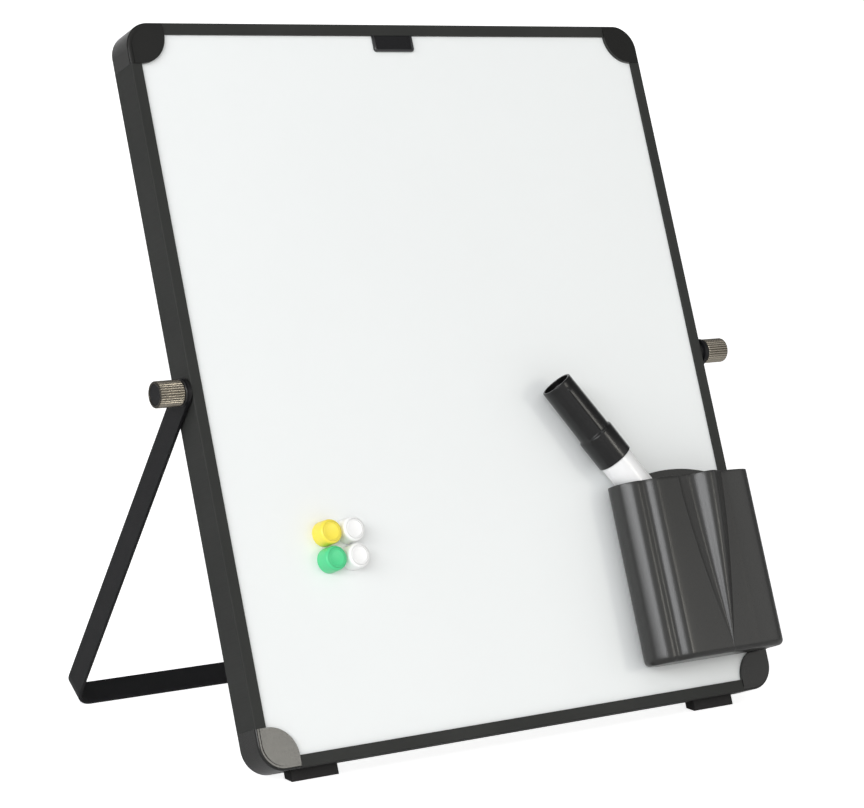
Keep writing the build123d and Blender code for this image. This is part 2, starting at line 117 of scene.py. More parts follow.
class EaselSizes(bpy.types.PropertyGroup):
    """Sizes of the finer pieces, in metres."""

    knurls: bpy.props.IntProperty(
        name="Knurls", description="Ridges round each clamp knob", default=30, min=8, max=120
    )
    knurl_depth: bpy.props.FloatProperty(
        name="Knurl depth", description="Depth of the grooves on the clamp knobs",
        default=0.5 * MM, unit="LENGTH", precision=5,
    )
    knob_edge: bpy.props.FloatProperty(
        name="Knob edge", description="Rounding at both ends of the knurled grip",
        default=0.6 * MM, unit="LENGTH", precision=5,
    )
    button_edge: bpy.props.FloatProperty(
        name="Button edge", description="Rounding between a button's side and its face",
        default=1.3 * MM, unit="LENGTH", precision=5,
    )
    button_dish: bpy.props.FloatProperty(
        name="Button dish", description="Depth of the dish in a button's face",
        default=0.35 * MM, unit="LENGTH", precision=5,
    )
    tab_bead: bpy.props.FloatProperty(
        name="Tab bead", description="Radius of the bead round the tab's free edges",
        default=0.7 * MM, unit="LENGTH", precision=5,
    )
    holder_wall: bpy.props.FloatProperty(
        name="Holder wall", description="Wall thickness of the marker holder",
        default=1.5 * MM, unit="LENGTH", precision=5,
    )
    holder_foot_round: bpy.props.FloatProperty(
        name="Holder foot", description="Rounding round the foot of the marker holder",
        default=2.8 * MM, unit="LENGTH", precision=5,
    )
    cap_length: bpy.props.FloatProperty(
        name="Cap length", description="Length of the marker's cap",
        default=47.5 * MM, unit="LENGTH", precision=5,
    )
    cap_radius: bpy.props.FloatProperty(
        name="Cap radius", description="Radius of the marker's cap above its ring",
        default=8.3 * MM, unit="LENGTH", precision=5,
    )
    cap_end_radius: bpy.props.FloatProperty(
        name="Cap end radius", description="Radius of the marker's cap at its end",
        default=8.0 * MM, unit="LENGTH", precision=5,
    )
    ring_radius: bpy.props.FloatProperty(
        name="Ring radius", description="Radius of the wide ring at the cap's mouth",
        default=9.2 * MM, unit="LENGTH", precision=5,
    )
    ring_length: bpy.props.FloatProperty(
        name="Ring length", description="Length of the wide ring at the cap's mouth",
        default=16 * MM, unit="LENGTH", precision=5,
    )
    rib_height: bpy.props.FloatProperty(
        name="Cap rib", description="Height of the raised rib along the marker's cap",
        default=0.55 * MM, unit="LENGTH", precision=5,
    )
    rib_half_angle: bpy.props.FloatProperty(
        name="Rib half angle", description="Half of the rib's width round the cap",
        default=radians(12.5), subtype="ANGLE",
    )
    rib_turn: bpy.props.FloatProperty(
        name="Rib turn", description="Turn of the rib from straight out of the board",
        default=radians(-5.6), subtype="ANGLE",
    )


class EaselColours(bpy.types.PropertyGroup):
    """Base colours of the finishes."""

    board: bpy.props.FloatVectorProperty(
        name="Writing sheet", description="White enamel of both writing sheets",
        default=(0.88, 0.90, 0.895), size=3, subtype="COLOR", min=0, max=1,
    )
    frame: bpy.props.FloatVectorProperty(
        name="Frame rails", description="Dark anodised rails",
        default=(0.034, 0.035, 0.033), size=3, subtype="COLOR", min=0, max=1,
    )
    corners: bpy.props.FloatVectorProperty(
        name="Corner caps", description="Moulded corner caps",
        default=(0.014, 0.014, 0.013), size=3, subtype="COLOR", min=0, max=1,
    )
    strap: bpy.props.FloatVectorProperty(
        name="Stand strap", description="Powder coat of the stand",
        default=(0.007, 0.007, 0.008), size=3, subtype="COLOR", min=0, max=1,
    )
    knob: bpy.props.FloatVectorProperty(
        name="Knob grip", description="Pewter plating of the clamp knobs",
        default=(0.33, 0.30, 0.25), size=3, subtype="COLOR", min=0, max=1,
    )
    holder: bpy.props.FloatVectorProperty(
        name="Marker holder", description="Moulded holder",
        default=(0.014, 0.014, 0.013), size=3, subtype="COLOR", min=0, max=1,
    )
    black_gloss: bpy.props.FloatVectorProperty(
        name="Black gloss", description="Marker cap and plugs",
        default=(0.004, 0.004, 0.004), size=3, subtype="COLOR", min=0, max=1,
    )
    barrel: bpy.props.FloatVectorProperty(
        name="Marker barrel", description="White barrel of the marker",
        default=(0.85, 0.85, 0.85), size=3, subtype="COLOR", min=0, max=1,
    )
    yellow: bpy.props.FloatVectorProperty(
        name="Yellow button", description="Yellow magnet button",
        default=(0.96, 0.80, 0.08), size=3, subtype="COLOR", min=0, max=1,
    )
    green: bpy.props.FloatVectorProperty(
        name="Green button", description="Green magnet button",
        default=(0.085, 0.67, 0.28), size=3, subtype="COLOR", min=0, max=1,
    )
    white: bpy.props.FloatVectorProperty(
        name="White buttons", description="White magnet buttons",
        default=(0.95, 0.95, 0.94), size=3, subtype="COLOR", min=0, max=1,
    )


class EaselStudio(bpy.types.PropertyGroup):
    """Camera and light."""

    camera_place: bpy.props.FloatVectorProperty(
        name="Camera place", description="Where the camera stands",
        default=(-0.7563, -1.0764, 0.3532), size=3, subtype="TRANSLATION", unit="LENGTH",
    )
    camera_aim: bpy.props.FloatVectorProperty(
        name="Camera aim", description="Point the camera looks at",
        default=(-0.0133, -0.0133, 0.1542), size=3, subtype="TRANSLATION", unit="LENGTH",
    )
    camera_roll: bpy.props.FloatProperty(
        name="Camera roll", description="Turn of the camera about its own axis",
        default=radians(1.05), subtype="ANGLE",
    )
    camera_lens: bpy.props.FloatProperty(
        name="Lens", description="Focal length in millimetres",
        default=113.5, subtype="DISTANCE_CAMERA",
    )
    front_light: bpy.props.FloatProperty(
        name="Light from the front",
        description="Strength of the even light from before and above the board",
        default=0.9,
    )
    back_light: bpy.props.FloatProperty(
        name="Light from the back",
        description="Strength of the even light from the sides and the back",
        default=0.2,
    )
    right_softbox: bpy.props.FloatProperty(
        name="Right softbox", description="Power of the softbox before the board, to its right",
        default=1.25, unit="POWER",
    )
    left_softbox: bpy.props.FloatProperty(
        name="Left softbox", description="Power of the softbox to the left of the camera",
        default=26.0, unit="POWER",
    )
    right_fill: bpy.props.FloatProperty(
        name="Right fill", description="Power of the weak wide light low on the board's right",
        default=2.8, unit="POWER",
    )


def sizes():
    """The scene's sizes."""
    return bpy.context.scene.easel_sizes


def colours():
    """The scene's colours."""
    return bpy.context.scene.easel_colours


# Materials

def new_material(name):
    """An empty node material with its shader, and the shader's node."""
    material = bpy.data.materials.new(name)
    material.use_nodes = True
    nodes, links = material.node_tree.nodes, material.node_tree.links
    nodes.clear()
    shader = nodes.new("ShaderNodeBsdfPrincipled")
    output = nodes.new("ShaderNodeOutputMaterial")
    links.new(shader.outputs["BSDF"], output.inputs["Surface"])
    return material, nodes, links, shader


def noise(nodes, links, vector, scale, detail=3.0):
    """A noise texture on the mapped Object coordinates; its size is 1 / scale metres."""
    texture = nodes.new("ShaderNodeTexNoise")
    texture.inputs["Scale"].default_value = scale
    texture.inputs["Detail"].default_value = detail
    links.new(vector, texture.inputs["Vector"])
    return texture.outputs["Fac"]


def spread(nodes, links, value, low, high):
    """The value's middle part, 0.3 to 0.7, stretched to run from low to high."""
    stretch = nodes.new("ShaderNodeMapRange")
    stretch.inputs["From Min"].default_value = 0.3
    stretch.inputs["From Max"].default_value = 0.7
    stretch.inputs["To Min"].default_value = low
    stretch.inputs["To Max"].default_value = high
    links.new(value, stretch.inputs["Value"])
    return stretch.outputs["Result"]


def finish(
    name, colour, roughness, metallic=0.0, grain=2500.0, grain_depth=0.00001, stretch=(1, 1, 1),
    shift=0.12, shift_scale=25.0, rough_shift=0.05, specular=0.5,
):
    """Shader with a fine grain in its bump and slow drifts of colour and roughness.

    grain and shift_scale are the sizes of the two noises, in parts of a metre. stretch squeezes
    the grain along the board's own axes, which makes brushed lines.
    """
    material, nodes, links, shader = new_material(name)
    place = nodes.new("ShaderNodeTexCoord")
    turn = nodes.new("ShaderNodeMapping")
    turn.inputs["Rotation"].default_value = (LEAN, 0, 0)
    links.new(place.outputs["Object"], turn.inputs["Vector"])
    squeeze = nodes.new("ShaderNodeMapping")
    squeeze.inputs["Scale"].default_value = stretch
    links.new(turn.outputs["Vector"], squeeze.inputs["Vector"])
    fine = noise(nodes, links, squeeze.outputs["Vector"], grain, 4.0)
    slow = noise(nodes, links, turn.outputs["Vector"], shift_scale, 2.0)
    tint = nodes.new("ShaderNodeMix")
    tint.data_type = "RGBA"
    dark, light = (1 - shift), (1 + shift)
    tint.inputs["A"].default_value = (*[dark * c for c in colour], 1)
    tint.inputs["B"].default_value = (*[min(light * c, 1) for c in colour], 1)
    links.new(spread(nodes, links, slow, 0, 1), tint.inputs["Factor"])
    links.new(tint.outputs["Result"], shader.inputs["Base Color"])
    rough = spread(nodes, links, fine, roughness - rough_shift, roughness + rough_shift)
    links.new(rough, shader.inputs["Roughness"])
    bump = nodes.new("ShaderNodeBump")
    bump.inputs["Strength"].default_value = 0.6
    bump.inputs["Distance"].default_value = grain_depth
    links.new(fine, bump.inputs["Height"])
    links.new(bump.outputs["Normal"], shader.inputs["Normal"])
    shader.inputs["Metallic"].default_value = metallic
    shader.inputs["Specular IOR Level"].default_value = specular
    return material


def put_on(material, *names):
    """Gives a material to carried-over nodes, leaving their meshes alone."""
    for name in names:
        slots = frame["nodes"][name].data.materials
        slots.clear()
        slots.append(material)


# Surfaces

def surface(name, grid, material, body, replaced=(), values=None):
    """Mesh over a grid of points, each row closed into a ring, doubles merged, normals outwards.

    values, where given, are kept on the points as the attribute "shade"; the knobs give painted
    shade for their grooves this way.
    """
    rows, columns = grid.shape[:2]
    index = np.arange(rows * columns).reshape(rows, columns)
    index = np.concatenate([index, index[:, :1]], axis=1)
    corners = np.stack([index[:-1, :-1], index[1:, :-1], index[1:, 1:], index[:-1, 1:]], axis=-1)
    faces = corners.reshape(-1, 4)
    mesh = bpy.data.meshes.new(name)
    mesh.vertices.add(rows * columns)
    mesh.vertices.foreach_set("co", grid.reshape(-1).astype(np.float32))
    mesh.loops.add(faces.size)
    mesh.loops.foreach_set("vertex_index", faces.reshape(-1).astype(np.int32))
    mesh.polygons.add(len(faces))
    mesh.polygons.foreach_set("loop_start", np.arange(0, faces.size, 4, dtype=np.int32))
    mesh.update(calc_edges=True)
    if values is not None:
        shade = mesh.attributes.new("shade", "FLOAT", "POINT")
        shade.data.foreach_set("value", values.reshape(-1).astype(np.float32))
    work = bmesh.new()
    work.from_mesh(mesh)
    bmesh.ops.remove_doubles(work, verts=work.verts, dist=1e-6)
    bmesh.ops.dissolve_degenerate(work, edges=work.edges, dist=1e-7)
    bmesh.ops.recalc_face_normals(work, faces=work.faces)
    work.to_mesh(mesh)
    work.free()
    mesh.polygons.foreach_set("use_smooth", np.ones(len(mesh.polygons), dtype=bool))
    mesh.materials.append(material)
    piece = bpy.data.objects.new(name, mesh)
    bpy.context.scene.collection.objects.link(piece)
    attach(piece, body)
    if replaced:
        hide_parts(*replaced)


def frame_about(axis, first):
    """Two unit vectors across an axis, the first one as near as can be to the given one."""
    one = first - axis * np.dot(first, axis)
    one = one / np.linalg.norm(one)
    return one, np.cross(axis, one)


def rounded(points, radii, steps=6):
    """Profile whose corners are replaced by arcs, as (radius, height) rows.

    Each corner gives up the length in radii of both its sides and is crossed by a quadratic
    curve.
    """
    path = [points[0]]
    for before, corner, after, cut in zip(points[:-2], points[1:-1], points[2:], radii):
        before, corner, after = map(np.array, (before, corner, after))
        start = corner + (before - corner) / max(np.linalg.norm(before - corner), 1e-9) * cut
        end = corner + (after - corner) / max(np.linalg.norm(after - corner), 1e-9) * cut
        for t in np.linspace(0, 1, steps):
            path.append((1 - t) ** 2 * start + 2 * t * (1 - t) * corner + t ** 2 * end)
    path.append(points[-1])
    return np.array([tuple(p) for p in path])


def flowing(points, steps=8):
    """Smooth line through the first point, the middles of all sides between, and the last point.

    Each corner is crossed by a quadratic curve from the middle of one side to the middle of the
    next. The first curve starts at the first point and the last one ends at the last.
    """
    points = np.array(points, dtype=float)
    middles = np.concatenate([points[:1], (points[1:-2] + points[2:-1]) / 2, points[-1:]])
    t = np.linspace(0, 1, steps, endpoint=False)[None, :, None]
    start, corner, end = middles[:-1, None], points[1:-1, None], middles[1:, None]
    path = (1 - t) ** 2 * start + 2 * t * (1 - t) * corner + t ** 2 * end
    return np.concatenate([path.reshape(-1, 2), points[-1:]])


def turned(profile, origin, axis, first, segments, relief=None):
    """Grid of a turned surface: each (radius, height) row goes round the axis in a circle.

    relief, where given, is a function of angle, height and radius. What it gives is added to the
    radius.
    """
    one, two = frame_about(axis, first)
    angle = np.arange(segments) / segments * tau
    radius = profile[:, :1] * np.ones((1, segments))
    if relief is not None:
        radius = np.maximum(radius + relief(angle[None, :], profile[:, 1:2], radius), 0)
    height = profile[:, 1:2] * np.ones((1, segments))
    return (
        origin
        + axis * height[..., None]
        + one * (radius * np.cos(angle))[..., None]
        + two * (radius * np.sin(angle))[..., None]
    )


# Operators

class EASEL_OT_frame(bpy.types.Operator):
    """Finishes of the board: rails, caps, sheets, tab, feet and the hidden pieces"""

    bl_idname = "easel.board"
    bl_label = "Board"

    def execute(self, context):
        tint = colours()
        # Brushed grain: drawn out along a rail, fine over it
        along, over = 0.05, 6
        rails = {
            "upright": ((over, along, over), ("rail_left", "rail_right")),
            "cross": ((along, over, over), ("rail_top", "rail_bottom")),
        }
        for word, (stretch, names) in rails.items():
            put_on(
                finish(f"anodised_{word}", tint.frame, 0.5, grain=900, grain_depth=0.000006,
                       stretch=stretch, shift=0.08, specular=0.12),
                *names,
            )
        put_on(
            finish("cap_plastic", tint.corners, 0.17, grain=3200, grain_depth=0.000004, shift=0.1,
                   specular=0.4),
            *[name for name in frame["nodes"] if name.startswith("corner_cap")],
        )
        put_on(
            finish("white_enamel", tint.board, 0.42, grain=700, grain_depth=0.0000012, shift=0.008,
                   shift_scale=6, rough_shift=0.03, specular=0.4),
            "writing_sheet_front", "writing_sheet_back",
        )
        put_on(finish("fibreboard", (0.4, 0.28, 0.17), 0.8, grain=1500, grain_depth=0.00004,
                      shift=0.2),
               "panel_core")
        gloss = finish("tab_gloss", (0.006, 0.006, 0.007), 0.2, grain=1500, grain_depth=0.000002)
        put_on(gloss, "top_tab")
        self.bead(finish("bead_gloss", (0.03, 0.03, 0.032), 0.15, grain=1500, grain_depth=0.000001))
        put_on(finish("foot_rubber", (0.011, 0.010, 0.010), 0.72, grain=2600, grain_depth=0.00003),
               "foot_left", "foot_right")
        put_on(finish("insert_brass", (0.62, 0.46, 0.2), 0.35, metallic=1), "pivot_insert_left",
               "pivot_insert_right")
        put_on(finish("washer_nylon", (0.012, 0.012, 0.012), 0.45), "inner_washer_left",
               "inner_washer_right")
        return {"FINISHED"}

    def bead(self, gloss):
        """Half-sunk round bead along the tab's sides and foot.

        Its line runs down one side, round both lower corners and up the other, and a circle of
        the bead's radius is carried along it, square to the line.
        """
        radius = sizes().tab_bead
        corner, corner_steps, segments = 1.1 * MM, 10, 12
        left, right = extent("top_tab", ACROSS)
        low, high = extent("top_tab", UP)
        face = extent("top_tab", OUT)[1]
        left, right, low = left + radius, right - radius, low + radius
        outline = [(left, high), (left, low), (right, low), (right, high)]
        line = rounded(outline, [corner, corner], corner_steps)
        along = np.gradient(line, axis=0)
        along = along / np.linalg.norm(along, axis=1, keepdims=True)
        side = np.stack([along[:, 1], -along[:, 0]], axis=1)
        angle = np.arange(segments) / segments * tau
        place = line[:, None] + radius * np.cos(angle)[None, :, None] * side[:, None]
        height = face + radius * np.sin(angle)[None, :] * np.ones((len(line), 1))
        grid = ACROSS * place[..., :1] + UP * place[..., 1:] + OUT * height[..., None]
        ends = np.repeat(grid[[0, -1]].mean(axis=1, keepdims=True), segments, axis=1)
        surface("tab_bead", np.concatenate([ends[:1], grid, ends[1:]]), gloss, "board")


class EASEL_OT_stand(bpy.types.Operator):
    """Finishes of the strap and its collars"""

    bl_idname = "easel.stand"
    bl_label = "Stand"

    def execute(self, context):
        put_on(finish("powder_coat", colours().strap, 0.5, grain=1800, grain_depth=0.00002,
                      rough_shift=0.06, specular=0.25),
               "stand_strap")
        put_on(finish("collar_black", (0.012, 0.012, 0.012), 0.4), "collar_left", "collar_right")
        return {"FINISHED"}


class EASEL_OT_knobs(bpy.types.Operator):
    """Clamp knobs: knurled grips with a dark disc let into the end"""

    bl_idname = "easel.knobs"
    bl_label = "Knobs"

    # Grip in metres: its bore, the neck towards the collar, and the play round the disc
    bore = 2.05 * MM
    neck_radius, neck = 4.6 * MM, 0.5 * MM
    disc_play = 0.04 * MM
    points_per_knurl = 8

    def execute(self, context):
        own = sizes()
        pewter = finish("pewter", colours().knob, 0.25, metallic=1, grain=5000,
                        grain_depth=0.0000005, shift=0.06)
        # Painted shade: the pewter's colour is darkened in the knurl's grooves and lightened on its
        # crests
        self.paint_groove_shade(pewter)
        disc = finish("knob_disc", (0.008, 0.008, 0.009), 0.4, specular=0.2)
        stud = finish("stud_steel", (0.5, 0.5, 0.51), 0.3, metallic=1)
        for side, word in ((-1, "left"), (1, "right")):
            put_on(disc, f"knob_disc_{word}")
            put_on(stud, f"knob_stud_{word}")
            low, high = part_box(f"knob_grip_{word}")
            disc_low, disc_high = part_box(f"knob_disc_{word}")
            origin = middle(f"knob_disc_{word}")
            radius = (high[2] - low[2]) / 2
            disc_radius = (disc_high[2] - disc_low[2]) / 2
            near, far = sorted((abs(low[0]), abs(high[0])))
            disc_near = min(abs(disc_low[0]), abs(disc_high[0]))
            origin[0] = side * near
            length, neck = far - near, self.neck
            seat, seat_radius = disc_near - near, disc_radius + self.disc_play
            outline = [
                (self.bore, 0), (self.neck_radius, 0), (self.neck_radius, neck), (radius, neck),
                (radius, length), (seat_radius, length), (seat_radius, seat), (self.bore, seat),
                (self.bore, 0),
            ]
            soft, sharp, mouth = 0.1 * MM, 0.05 * MM, 0.25 * MM
            cuts = [soft, soft, own.knob_edge, own.knob_edge, mouth, sharp, sharp]
            profile = rounded(outline, cuts)
            fade = 0.4 * own.knob_edge

            def knurl(angle, height, base):
                """Rounded ridges: depth times the half-wave's dip, faded in near both ends."""
                wave = np.abs(np.sin(angle * own.knurls / 2))
                inside = np.clip((height - neck) / fade, 0, 1)
                inside = inside * np.clip((length - height) / fade, 0, 1)
                outer = base > radius - 0.35 * own.knob_edge
                return -own.knurl_depth * (1 - wave) * inside * outer

            segments = own.knurls * self.points_per_knurl
            grid = turned(profile, origin, side * ACROSS, UP, segments, knurl)
            angle = np.arange(segments)[None, :] / segments * tau
            # Painted shade on the grip: the share of a groove's depth, squared, and 1 on the end
            # face rows
            groove_shade = (-knurl(angle, profile[:, 1:2], profile[:, :1]) / own.knurl_depth) ** 2
            groove_shade = np.maximum(groove_shade, profile[:, 1:2] > length - fade)
            surface(f"knob_knurled_{word}", grid, pewter, f"knob_{word}", (f"knob_grip_{word}",),
                    groove_shade)
        return {"FINISHED"}

    def paint_groove_shade(self, pewter):
        """Painted shade in the knurl: base colour times a share that falls as the attribute shade
        rises, from 1.35 times on the crests to a quarter in the grooves.

        It rises to 1 at the bottom of a groove and is 1 on the end face.
        """
        nodes, links = pewter.node_tree.nodes, pewter.node_tree.links
        shader = next(node for node in nodes if node.type == "BSDF_PRINCIPLED")
        before = shader.inputs["Base Color"].links[0].from_socket
        # Painted shade: the attribute darkens the grooves and lightens the crests
        depth = nodes.new("ShaderNodeAttribute")
        depth.attribute_name = "shade"
        share = nodes.new("ShaderNodeMapRange")
        share.inputs["To Min"].default_value = 1.35
        share.inputs["To Max"].default_value = 0.25
        links.new(depth.outputs["Fac"], share.inputs["Value"])
        painted_shade_mix = nodes.new("ShaderNodeMix")
        painted_shade_mix.data_type = "RGBA"
        painted_shade_mix.blend_type = "MULTIPLY"
        painted_shade_mix.inputs["Factor"].default_value = 1
        links.new(before, painted_shade_mix.inputs["A"])
        links.new(share.outputs["Result"], painted_shade_mix.inputs["B"])
        links.new(painted_shade_mix.outputs["Result"], shader.inputs["Base Color"])


class EASEL_OT_holder(bpy.types.Operator):
    """Marker holder: back plate, magnets and a moulded shell with a tapering ridge"""

    bl_idname = "easel.holder"
    bl_label = "Marker holder"

    # Plan of the shell in millimetres, across from its left and out from its plate
    plan = (
        (5.6, 0), (0.8, 1.4), (-1.9, 5.5), (-1.6, 11.4), (2.1, 16.6), (6.4, 18.9), (10, 18.3),
        (13.6, 21.6), (17, 22.6), (56.5, 22), (59, 22.3), (67, 21.3), (75, 19.6), (79.6, 15),
        (79.6, 7), (79.6, 0.8), (79.2, 0),
    )
    # Slope of the ridge at shares of the way from its left crease to its right one
    slopes = ((0, -0.55), (0.24, -0.3), (0.46, 0.9), (0.64, -0.05), (0.8, -0.85), (1, -0.75))
    # Each crease in millimetres: where it is at the rim, how far it moves by the foot, its power
    creases = ((28.7, 12.7, 1.6), (56.8, -14.8, 1.4))
    ridge_length = 85 * MM
    # The part of the front whose columns follow the creases, and how far out the front starts
    start, stop, front_out = 20 * MM, 62 * MM, 10 * MM

    def execute(self, context):
        plastic = finish("holder_plastic", colours().holder, 0.3, grain=2600, grain_depth=0.000003,
                         shift=0.05, rough_shift=0.03, specular=0.6)
        put_on(plastic, "holder_plate")
        put_on(finish("ferrite", (0.04, 0.04, 0.042), 0.6), "holder_magnets",
               *[name for name in frame["nodes"] if name.startswith("button_magnet")])
        self.shell(plastic)
        return {"FINISHED"}

    def shell(self, plastic):
        """Cup over a closed plan line, one row for each height.

        The front of the plan is the flowing base line. Between two creases the ridge is added:
        the sum of its slopes, less a straight line that brings it back to nothing, times how far
        apart the creases are. They close in on each other towards the foot by powers of the share
        of the way down. Rows are moved inwards for the round foot, the rim and the inner wall.
        """
        own = sizes()
        left, right = extent("holder_front", ACROSS)
        low, rim = extent("holder_front", UP)
        back = extent("holder_front", OUT)[0]
        shelf = extent("marker_end_plug", UP)[0] - 0.3 * MM
        base = MM * flowing(self.plan)
        way = np.linspace(0, 1, 101)
        ridge = np.cumsum(np.interp(way, *np.transpose(self.slopes))) / 100
        ridge = ridge - ridge[0] - way * (ridge[-1] - ridge[0])
        front = base[:, 1] > self.front_out
        first = int(np.argmax(front & (base[:, 0] >= self.start)))
        last = int(np.argmax(front & (base[:, 0] >= self.stop)))
        behind = np.linspace(base[-1], base[0], 26)[1:-1]

        foot, wall, lip = own.holder_foot_round, own.holder_wall, 0.3 * MM
        turn = np.linspace(0, pi / 2, 9)
        edge = np.linspace(0, pi / 2, 5)[1:]
        sides = np.linspace(low + foot, rim - lip, 60)[1:]
        rise = [low + foot * (1 - np.cos(turn)), sides, rim - lip * (1 - np.sin(edge))]
        inset = [foot * (1 - np.sin(turn)), 0 * sides, lip * (1 - np.cos(edge))]
        # Down the inner wall, from its broken edge to the hollow round at the shelf
        nick, soft, hollow = 0.1 * MM, 0.4 * MM, 1.3 * MM
        inner_rise = np.array([rim, rim - nick, rim - soft, shelf + hollow, shelf + soft, shelf])
        inner_inset = np.array([wall - soft, wall - nick, wall, wall, wall + soft, wall + hollow])
        rise, inset = np.concatenate([*rise, inner_rise]), np.concatenate([*inset, inner_inset])
        inner = (np.arange(len(rise)) >= len(rise) - len(inner_rise))[:, None]

        down = np.clip((rim - rise) / self.ridge_length, 0, 1)[:, None]
        crease_left, crease_right = (
            MM * (place + shift * down ** power) for place, shift, power in self.creases
        )
        before, within, after = (np.linspace(0, 1, count)[None, :-1] for count in (30, 72, 16))
        middle = np.concatenate([
            self.start + (crease_left - self.start) * before,
            crease_left + (crease_right - crease_left) * within,
            crease_right + (self.stop - crease_right) * after,
        ], axis=1)
        depth = np.interp(middle, base[front, 0], base[front, 1])
        every = np.ones((len(rise), 1))
        across = np.concatenate(
            [every * base[:first, 0], middle, every * base[last:, 0], every * behind[:, 0]], axis=1
        )
        out = np.concatenate(
            [every * base[:first, 1], depth, every * base[last:, 1], every * behind[:, 1]], axis=1
        )
        # Inwards is square to the plan line, a quarter turn from the way it runs
        step_across = np.roll(across, -1, axis=1) - np.roll(across, 1, axis=1)
        step_out = np.roll(out, -1, axis=1) - np.roll(out, 1, axis=1)
        step = np.hypot(step_across, step_out)
        plate = np.zeros(across.shape[1], dtype=bool)
        plate[-len(behind):] = True
        moved = np.where(plate, 0, inset[:, None] * np.ones(across.shape))
        across = across + moved * step_out / step
        out = out - moved * step_across / step
        least = base[:, 0].min() + inset[:, None]
        most = right - left - inset[:, None]
        across = np.where(inner, np.clip(across, least, most), across)
        out = np.where(inner, np.maximum(out, 0.1 * MM), np.maximum(out, 0))
        # The ridge stands on the outer rows alone
        width = crease_right - crease_left
        height = np.interp((across - crease_left) / width, way, ridge, 0, 0) * width
        out = out + height * ~inner * ~plate * (out > self.front_out)
        grid = (
            ACROSS * (left + across)[..., None]
            + UP * (rise[:, None] * np.ones(across.shape))[..., None]
            + OUT * (back + out)[..., None]
        )
        # The foot and the shelf each close at a point in the middle of the cup
        centre = ACROSS * (left + right) / 2 + OUT * (back + 9 * MM)
        columns = np.ones((1, across.shape[1], 1))
        ends = columns * (centre + UP * low), columns * (centre + UP * shelf)
        grid = np.concatenate([ends[0], grid, ends[1]])
        surface("holder_shell", grid, plastic, "holder", ("holder_front",))


class EASEL_OT_marker(bpy.types.Operator):
    """Marker: white barrel, plugs, nib, and a glossy cap with its ring, rib and hollow end"""

    bl_idname = "easel.marker"
    bl_label = "Marker"

    def execute(self, context):
        tint = colours()
        gloss = finish("black_gloss", tint.black_gloss, 0.24, grain=2600, grain_depth=0.0000005,
                       shift=0.1, rough_shift=0.02, specular=0.45)
        put_on(finish("barrel_white", tint.barrel, 0.22, shift=0.01, grain_depth=0.000001),
               "marker_barrel")
        put_on(gloss, "marker_end_plug", "marker_section", "marker_cap_seal")
        put_on(finish("ink_fibre", (0.02, 0.02, 0.022), 0.8, grain_depth=0.00005),
               "marker_reservoir", "marker_nib")
        self.cap(gloss)
        return {"FINISHED"}

    def cap(self, gloss):
        """Turned cap whose radius grows by the rib's height inside the rib's angle.

        The rib's sides rise over a tenth of its width and its far end fades into the cap.
        """
        own = sizes()
        barrel_length = tube_length("marker_barrel", MARKER_AXIS)
        gap = 0.3 * MM
        mouth = middle("marker_barrel") + MARKER_AXIS * (barrel_length / 2 + gap)
        shoulder = own.ring_length + 0.9 * MM
        bore, bore_end = 6.2 * MM, 38 * MM
        ring_bore, ring_bore_end = 7.5 * MM, 12 * MM
        recess, floor = own.cap_end_radius - 1.1 * MM, own.cap_length - 3 * MM
        outline = [
            (0, bore_end), (bore, bore_end), (bore, ring_bore_end), (ring_bore, ring_bore_end),
            (ring_bore, 0), (own.ring_radius, 0), (own.ring_radius, own.ring_length),
            (own.cap_radius, shoulder), (own.cap_end_radius, own.cap_length),
            (recess, own.cap_length), (recess, floor), (0, floor),
        ]
        inner, ring, step, end, dish = 0.35 * MM, 0.6 * MM, 0.4 * MM, 0.5 * MM, 0.6 * MM
        cuts = [inner, inner, inner, inner, inner, ring, step, end, step, dish]
        profile = rounded(outline, cuts, 7)
        # Rows along the plain side, put in before the rounded edge of the far end
        room = 1 * MM
        extra = np.linspace(shoulder + room, own.cap_length - room, 60)
        slope = (own.cap_end_radius - own.cap_radius) / (own.cap_length - shoulder)
        rows = np.stack([own.cap_radius + slope * (extra - shoulder), extra], axis=1)
        at_end = (profile[:, 1] > own.cap_length - 0.9 * MM) & (profile[:, 0] > recess)
        split = int(np.argmax(at_end))
        profile = np.concatenate([profile[:split], rows, profile[split:]])
        rib_start, rib_start_fade = own.ring_length, 0.5 * MM
        rib_end, rib_end_fade = own.cap_length - 3.8 * MM, 1.2 * MM
        flank, segments = 0.2 * own.rib_half_angle, 288

        def rib(angle, height, base):
            """The rib's height inside its angle and between the ring and the faded end."""
            away = np.abs((angle - own.rib_turn + pi) % tau - pi)
            across = np.clip((own.rib_half_angle - away) / flank, 0, 1)
            along = np.clip((height - rib_start) / rib_start_fade, 0, 1)
            along = along * np.clip((rib_end - height) / rib_end_fade, 0, 1)
            outer = base > own.cap_end_radius - 0.2 * MM
            return own.rib_height * across * along * outer

        grid = turned(profile, mouth, MARKER_AXIS, OUT, segments, rib)
        surface("marker_ribbed_cap", grid, gloss, "cap", ("marker_cap",))


